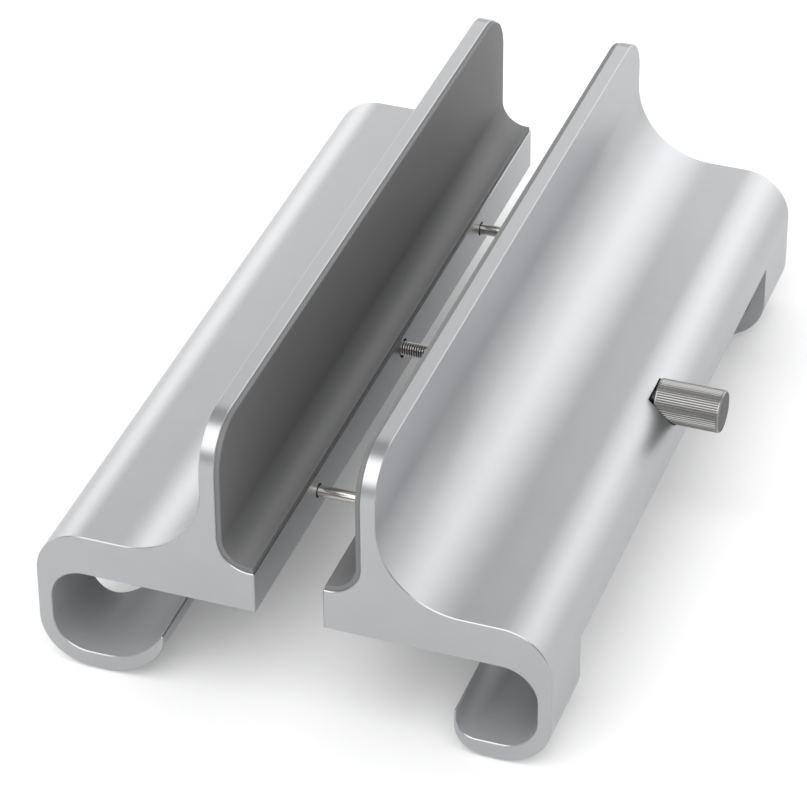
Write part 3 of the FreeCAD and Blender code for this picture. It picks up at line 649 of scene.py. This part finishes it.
def threaded_steel_painted_light():
    """The rolled thread: a painted highlight on its crests and painted shade in its roots, by the distance from the
    screw's axis, r2 = y2 + (z - z0)2; the crests are also glossier."""
    finish = Finish("thread_steel_painted_light")
    y, z = (finish.add("ShaderNodeSeparateXYZ", {}, {"Vector": finish.place}, way) for way in ("Y", "Z"))
    height = z - (SCREW_Z + FOOT_LIFT) * MM
    distance = (y * y + height * height) ** 0.5
    painted_crest_light = finish.add("ShaderNodeMapRange", {}, {
        "Value": distance, "From Min": 1.24 * MM, "From Max": 1.42 * MM, "To Min": 0.0, "To Max": 1.0})
    return finish.surface(
        # Near black in the roots as painted shade, near white on the crests as painted highlight.
        Base_Color=finish.tone(painted_crest_light, (0.06, 0.058, 0.053), (0.84, 0.83, 0.81)),
        Metallic=1.0,
        Roughness=0.34 - painted_crest_light * 0.12,
    )


aluminium = [blasted_aluminium(), cut_aluminium(), bore_shade_aluminium(), hollow_shade_aluminium(), milled_edge()]
liner = silicone("liner_silicone", (0.125, 0.126, 0.128), (0.155, 0.156, 0.159), 0.48)
foot_rubber = silicone("foot_silicone", (0.050, 0.050, 0.050), (0.070, 0.070, 0.070), 0.55)
polished_steel = metal("polished_steel", (0.50, 0.485, 0.445), (0.58, 0.565, 0.525), 0.11, 0.03, depth=0.0008)
thread_steel_painted_light = threaded_steel_painted_light()
knob_aluminium = metal("knob_aluminium", (0.225, 0.223, 0.217), (0.290, 0.287, 0.280), 0.26, 0.10)
knob_face = metal("knob_face", (0.020, 0.020, 0.020), (0.035, 0.035, 0.035), 0.36, 0.10, stretch=(1, 6, 6))
bronze = metal("oiled_bronze", (0.42, 0.29, 0.14), (0.56, 0.40, 0.22), 0.34, 0.12, stretch=(1, 1, 1))
brass = metal("machined_brass", (0.62, 0.48, 0.22), (0.76, 0.60, 0.30), 0.22, 0.10)
black_oxide = metal("black_oxide", (0.045, 0.045, 0.048), (0.075, 0.075, 0.080), 0.34, 0.14, stretch=(1, 1, 1))

right_section = section(tight_curl, shoulder_marks=(UP, recess_heights))
left_section = section(open_curl)
rods = (-ROD_Y, ROD_Y)
new_piece(
    "right_rail_body", "fixed_side",
    rail(
        right_section, (tight_x + tight_lip / 2, tight_tip[1] + tight_lip / 2),
        [(-ROD_Y, ROD_Z, ROD_RADIUS), (0, SCREW_Z, PASSAGE_RADIUS), (ROD_Y, ROD_Z, ROD_RADIUS)],
        [(y, ROD_Z, [(0, ROD_RADIUS), (ROD_SEAT, ROD_RADIUS)]) for y in rods],
        [(y, GRUB_X, GRUB_RADIUS) for y in rods],
        recess=True,
    ) + tube(0, SCREW_Z, [
        (0, PASSAGE_RADIUS), (BUSH_SEAT_FLOOR, PASSAGE_RADIUS),
        (BUSH_SEAT_FLOOR, BUSH_SEAT_RADIUS), (RECESS_FLOOR, BUSH_SEAT_RADIUS)], BORE, closed=False),
    aluminium, RIGHT, FOOT_LIFT, ["right_rail"],
)
new_piece(
    "left_rail_body", "sliding_side",
    rail(
        left_section, (open_x + open_lip / 2, open_tip[1] + open_lip / 2),
        [(-ROD_Y, ROD_Z, ROD_BORE_RADIUS), (0, SCREW_Z, SCREW_BORE_RADIUS), (ROD_Y, ROD_Z, ROD_BORE_RADIUS)],
        [(y, ROD_Z, [(0, ROD_BORE_RADIUS), (ROD_BORE, ROD_BORE_RADIUS)]) for y in rods]
        + [(0, SCREW_Z, [(0, SCREW_BORE_RADIUS), (SCREW_BORE, SCREW_BORE_RADIUS)])],
    ),
    aluminium, LEFT, FOOT_LIFT, ["left_rail"],
)

LINER, LINER_MARGIN, LINER_ROUND = 1.0, 0.3, 0.28
LINER_CORNER = CORNER_RADIUS - LINER_MARGIN


def liner_place(along, height):
    """Section point at a distance along the liner and a height above the rail: straight on the ledge, then
    centre + (r - h)(sin a, -cos a) in the fillet, then straight up the blade."""
    flat_run = LEDGE_FLAT - LINER_MARGIN
    bend = LEDGE_FILLET * math.pi / 2
    angle = np.clip((along - flat_run) / LEDGE_FILLET, 0, math.pi / 2)
    radius = LEDGE_FILLET - height
    x = LEDGE_FLAT + radius * np.sin(angle) - np.clip(flat_run - along, 0, None)
    z = LEDGE + LEDGE_FILLET - radius * np.cos(angle) + np.clip(along - flat_run - bend, 0, None)
    return x, z


def slot_liner():
    """The liner as a moulded sheet: rows along the section, places along the rail, and a rounded edge made of
    loops round its outline, each a little further out and lower: inset r (1 - sin a), height t - r (1 - cos a)."""
    flat_run, bend = LEDGE_FLAT - LINER_MARGIN, LEDGE_FILLET * math.pi / 2
    total = flat_run + bend + TOP - LINER_MARGIN - LEDGE - LEDGE_FILLET
    half = HALF_LENGTH - LINER_MARGIN
    corner_start = total - LINER_CORNER
    turn = np.linspace(0, math.pi / 2, 13)

    def outline(inset_by):
        """Rows (distance along the section) and how far each reaches, for the sheet's outline moved in."""
        bends = np.linspace(flat_run, flat_run + bend, 25)
        straight = np.array([flat_run + bend + EDGE_ROW, flat_run + bend + 8, corner_start])
        radius = LINER_CORNER - inset_by
        rows = np.concatenate([[inset_by], bends, straight, corner_start + radius * np.sin(turn[1:])])
        reach = np.concatenate([np.full(4 + len(bends), half - inset_by), CORNER_Y + radius * np.cos(turn[1:])])
        return rows, reach

    shares = np.linspace(-1, 1, 25)

    def sheet(inset_by, height):
        rows, reach = outline(inset_by)
        x, z = liner_place(rows, height)
        return stack(x[:, None], reach[:, None] * shares, z[:, None])

    def loop(inset_by, height):
        points = sheet(inset_by, height)
        return np.concatenate([points[0], points[1:-1, -1], points[-1, ::-1], points[-2:0:-1, 0]])

    loops = [
        loop(LINER_ROUND * (1 - math.sin(a)), LINER - LINER_ROUND * (1 - math.cos(a)))
        for a in np.linspace(0, math.pi / 2, 6)
    ]
    loops.append(loop(0.0, 0.0))
    return [
        grid(sheet(LINER_ROUND, LINER)),
        grid(np.array(loops), closed=True),
        grid(sheet(0.0, 0.0)),
    ]


for name, body, side in (("right", "fixed_side", RIGHT), ("left", "sliding_side", LEFT)):
    new_piece(f"{name}_slot_liner", body, slot_liner(), [liner], side, FOOT_LIFT,
              [f"{name}_slot_pad"])


def lathe(profile, y, z, count=64, radius_of=None, finish=0):
    """A turned surface about an axis along X: profile lists (x, radius); radius_of may change the radii, which
    have a row for each x and a column for each angle."""
    angle = circle(count)
    x = np.array([p[0] for p in profile], float)[:, None]
    radius = np.array([p[1] for p in profile], float)[:, None] * np.ones(count)
    if radius_of:
        radius = radius_of(x, radius)
    return [grid(stack(x, y + radius * np.cos(angle), z + radius * np.sin(angle)), finish, closed=True)]


def rounded(profile, radius=0.1, steps=3):
    """A profile with its corners eased: each corner is replaced by points between its two cut-off places."""
    points = [profile[0]]
    for before, corner, after in zip(profile, profile[1:], profile[2:]):
        a, b, c = (np.array(p, float) for p in (before, corner, after))
        first = b + (a - b) * min(0.45, radius / max(np.hypot(*(a - b)), 1e-9))
        last = b + (c - b) * min(0.45, radius / max(np.hypot(*(c - b)), 1e-9))
        for t in np.linspace(0, 1, steps + 1):
            points.append(tuple((1 - t) ** 2 * first + 2 * t * (1 - t) * b + t**2 * last))
    return points + [profile[-1]]


for place, y in (("front", -ROD_Y), ("rear", ROD_Y)):
    low, high = (v.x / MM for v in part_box(f"{place}_guide_rod"))
    profile = rounded([
        (low, 0), (low, 0.85), (low + 0.3, ROD_RADIUS), (high - 0.3, ROD_RADIUS), (high, 0.85), (high, 0)])
    new_piece(f"{place}_steel_rod", "fixed_side", lathe(profile, y, ROD_Z), [polished_steel],
              lift=FOOT_LIFT, replaces=[f"{place}_guide_rod"])

SCREW_RADIUS, PITCH, THREAD_DEPTH = 1.5, 0.5, 0.30
COLLAR_RADIUS, COLLAR_WIDTH, SCREW_EASE, SCREW_TIP = 1.8, 1.5, 0.3, 1.2
screw_low, screw_high = (v.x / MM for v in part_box("lead_screw"))
THREAD_END = RIGHT_FACE + 6.0
collar_start = RIGHT_FACE + BUSH_SEAT_FLOOR + 0.45


def lead_screw():
    """The screw: along the thread r = crest - depth (1 - 2 |share - 1/2|), where share is the part of a pitch
    gone by at x less the part of a turn, so that the ridge winds round; plain past its end, with a collar."""
    count = 28
    steps = np.arange(screw_low + SCREW_EASE, THREAD_END, PITCH / 8)
    fade = np.clip((THREAD_END - steps) / PITCH, 0, 1)
    angle = circle(count)
    share = (steps[:, None] / PITCH - angle / (2 * math.pi)) % 1
    ridge = np.clip((1 - 2 * abs(share - 0.5)) * 1.25, 0, 1)
    thread = SCREW_RADIUS - THREAD_DEPTH * ridge * fade[:, None]
    collar_end = collar_start + COLLAR_WIDTH
    nose = np.array([(screw_low, 0), (screw_low, 1.1), (screw_low + 0.28, SCREW_TIP)])
    tail = np.array([
        (THREAD_END, SCREW_RADIUS), (collar_start, SCREW_RADIUS), (collar_start, COLLAR_RADIUS),
        (collar_end, COLLAR_RADIUS), (collar_end, SCREW_RADIUS), (screw_high - SCREW_EASE, SCREW_RADIUS),
        (screw_high, SCREW_TIP), (screw_high, 0),
    ])
    x = np.concatenate([nose[:, 0], steps, tail[:, 0]])
    even = np.ones(count)
    radius = np.concatenate([nose[:, 1:] * even, thread, tail[:, 1:] * even])
    points = stack(x[:, None], radius * np.cos(angle), SCREW_Z + radius * np.sin(angle))
    end = len(points) - len(tail)
    return [grid(points[: end + 1], closed=True), grid(points[end:], 1, closed=True)]


new_piece("threaded_screw", "knob_and_screw", lead_screw(), [thread_steel_painted_light, black_oxide],
          lift=FOOT_LIFT, replaces=["lead_screw"], sharp=50.0)

knob_low, knob_high = (v.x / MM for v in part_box("knob"))
RIBS, RIB_DEPTH, GROOVE = 54, 0.15, 0.26
KNOB_RADIUS, KNOB_RIM, KNOB_BEVEL, KNOB_SEAT = 4.3, 0.45, 0.25, 9.0


def knob():
    """The knob: turned rims and a flat turned face, and between the rims straight V grooves,
    r = R - depth max(0, 1 - |share - 1/2| pitch / (groove / 2))."""
    per_rib = 8
    count = RIBS * per_rib
    share = (np.arange(count) / per_rib) % 1
    pitch = 2 * math.pi * KNOB_RADIUS / RIBS
    groove = np.clip(1 - abs(share - 0.5) * pitch / (GROOVE / 2), 0, 1)
    start, end = knob_low + KNOB_RIM, knob_high - KNOB_RIM
    profile = [
        (knob_low, SCREW_HOLE), (knob_low, KNOB_RADIUS - KNOB_BEVEL), (knob_low + KNOB_BEVEL, KNOB_RADIUS),
        (start, KNOB_RADIUS), (start + 0.04, KNOB_RADIUS), (end - 0.04, KNOB_RADIUS), (end, KNOB_RADIUS),
        (knob_high - KNOB_BEVEL, KNOB_RADIUS), (knob_high, KNOB_RADIUS - KNOB_BEVEL),
    ]
    face = [profile[-1], (knob_high, 3.2), (knob_high, 0)]
    seat = [(knob_low + KNOB_SEAT, 0), (knob_low + KNOB_SEAT, SCREW_HOLE)]

    def ribbed(x, radius):
        inside = (x > start + 0.02) & (x < end - 0.02) & (radius > KNOB_RADIUS - 0.01)
        return radius - RIB_DEPTH * groove * inside

    return lathe(seat + profile, 0, SCREW_Z, count, ribbed) + lathe(face, 0, SCREW_Z, count, finish=1)


new_piece("ribbed_knob", "knob_and_screw", knob(), [knob_aluminium, knob_face],
          lift=FOOT_LIFT, replaces=["knob"], sharp=24.0)


def ring_piece(node, body, finish, y, z, inner, outer, bevel=0.08):
    """A bush or washer: its half-section with small bevels, turned once round."""
    low, high = (v.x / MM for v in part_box(node))
    profile = [
        (low, inner + bevel), (low, outer - bevel), (low + bevel, outer), (high - bevel, outer),
        (high, outer - bevel), (high, inner + bevel), (high - bevel, inner), (low + bevel, inner),
        (low, inner + bevel),
    ]
    new_piece(f"turned_{node}", body, lathe(profile, y, z), [finish], lift=FOOT_LIFT, replaces=[node])


for place, y in (("front", -ROD_Y), ("rear", ROD_Y)):
    ring_piece(f"{place}_rod_bush", "sliding_side", bronze, y, ROD_Z, ROD_BUSH_HOLE, ROD_BORE_RADIUS)
ring_piece("screw_insert", "sliding_side", brass, 0, SCREW_Z, SCREW_HOLE, SCREW_BORE_RADIUS)
ring_piece("screw_bush", "fixed_side", bronze, 0, SCREW_Z, SCREW_HOLE, BUSH_SEAT_RADIUS)
for node in ("inner_thrust_washer", "outer_thrust_washer"):
    ring_piece(node, "fixed_side", brass, 0, SCREW_Z, WASHER_HOLE, WASHER_RADIUS, 0.05)


def foot_pad(node):
    """A foot pad: a rounded rectangle of loops, the lowest ones drawn in to ease the edge."""
    low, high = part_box(node)
    middle = (low + high) / 2 / MM
    half = (high - low) / 2 / MM
    radius, ease = 2.0, 0.35
    turn = np.linspace(0, 2 * math.pi, 33)[:-1]
    corner_x = np.sign(np.cos(turn + 1e-6)) * (half.x - radius)
    corner_y = np.sign(np.sin(turn + 1e-6)) * (half.y - radius)

    def loop(drawn_in, z):
        return stack(middle.x + corner_x + (radius - drawn_in) * np.cos(turn),
                     middle.y + corner_y + (radius - drawn_in) * np.sin(turn), z)

    levels = [(ease * (1 - math.sin(a)), low.z / MM + ease * (1 - math.cos(a)))
              for a in np.linspace(0, math.pi / 2, 5)]
    loops = np.array([loop(d, z) for d, z in levels + [(0.0, high.z / MM)]])
    return [grid(loops, closed=True), flat(loops[0]), flat(loops[-1])]


for side, body in (("right", "fixed_side"), ("left", "sliding_side")):
    for place in ("front", "rear"):
        node = f"{side}_{place}_foot_pad"
        new_piece(f"moulded_{node}", body, foot_pad(node), [foot_rubber], replaces=[node])

for node in ("knob_set_screw", "front_rod_grub_screw", "rear_rod_grub_screw"):
    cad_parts[node].data.materials.clear()
    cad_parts[node].data.materials.append(black_oxide)

FLOOR_HALF = 3
floor_corners = [(x * FLOOR_HALF, y * FLOOR_HALF, 0) for x, y in ((-1, -1), (1, -1), (1, 1), (-1, 1))]
floor_mesh = bpy.data.meshes.new("floor")
floor_mesh.from_pydata(floor_corners, [], [(0, 1, 2, 3)])
floor = bpy.data.objects.new("floor", floor_mesh)
bpy.context.scene.collection.objects.link(floor)
floor_finish = Finish("pale_floor")
floor_mesh.materials.append(floor_finish.surface(
    Base_Color=(0.78, 0.78, 0.78, 1), Roughness=0.9, Emission_Color=(1, 1, 1, 1), Emission_Strength=0.12))

IMAGE_WIDTH, FOCAL_LENGTH = 807, 3969.42
CAMERA_DISTANCE, LIGHT_DISTANCE = 761.54, 1.6
SENSOR_WIDTH = 36.0
camera_data = bpy.data.cameras.new("camera")
camera_data.sensor_width = SENSOR_WIDTH
camera_data.lens = FOCAL_LENGTH * SENSOR_WIDTH / IMAGE_WIDTH
camera_data.clip_end = 20
camera = bpy.data.objects.new("camera", camera_data)
bpy.context.scene.collection.objects.link(camera)
azimuth, elevation, roll = (math.radians(a) for a in (19.781, 35.698, -0.333))
back = Vector((
    math.sin(azimuth) * math.cos(elevation), -math.cos(azimuth) * math.cos(elevation), math.sin(elevation)))
level = Vector((math.cos(azimuth), math.sin(azimuth), 0))
upright = back.cross(level)
across = math.cos(roll) * level + math.sin(roll) * upright
over = math.cos(roll) * upright - math.sin(roll) * level
target = Vector((1.201, -34.559, 40.95))
turned = Matrix((across, over, back)).transposed().to_4x4()
camera.matrix_world = Matrix.Translation((target + back * CAMERA_DISTANCE) * MM) @ turned
bpy.context.scene.camera = camera


def softbox(name, direction, width, height, brightness):
    """A rectangular softbox in a direction from the stand, facing it, its sides given as seen from there. An area
    light of power P and area A shines evenly at P / (pi A)."""
    data = bpy.data.lights.new(name, "AREA")
    data.shape, data.size, data.size_y = "RECTANGLE", width * LIGHT_DISTANCE, height * LIGHT_DISTANCE
    data.energy = brightness * math.pi * data.size * data.size_y
    light = bpy.data.objects.new(name, data)
    light.location = Vector(direction).normalized() * LIGHT_DISTANCE
    light.rotation_euler = light.location.to_track_quat("Z", "Y").to_euler()
    bpy.context.scene.collection.objects.link(light)


world = bpy.data.worlds.new("studio")
world.use_nodes = True
world.node_tree.nodes["Background"].inputs["Color"].default_value = (1, 1, 1, 1)
world.node_tree.nodes["Background"].inputs["Strength"].default_value = 0.57
bpy.context.scene.world = world
softbox("front_softbox", (0.0, -0.60, 0.78), 1.15, 1.1, 2.4)
softbox("rear_right_softbox", (0.38, 0.86, 0.35), 0.93, 0.80, 1.35)
softbox("rear_left_softbox", (-0.64, 0.764, 0.23), 0.45, 0.45, 1.6)
softbox("rear_wide_softbox", (-0.12, 0.76, 0.42), 1.5, 0.45, 0.95)
softbox("left_softbox", (-0.90, 0.05, 0.42), 0.9, 0.8, 1.3)
softbox("right_softbox", (0.90, 0.05, 0.42), 0.9, 0.8, 0.55)
bpy.context.scene.view_settings.view_transform = "Standard"
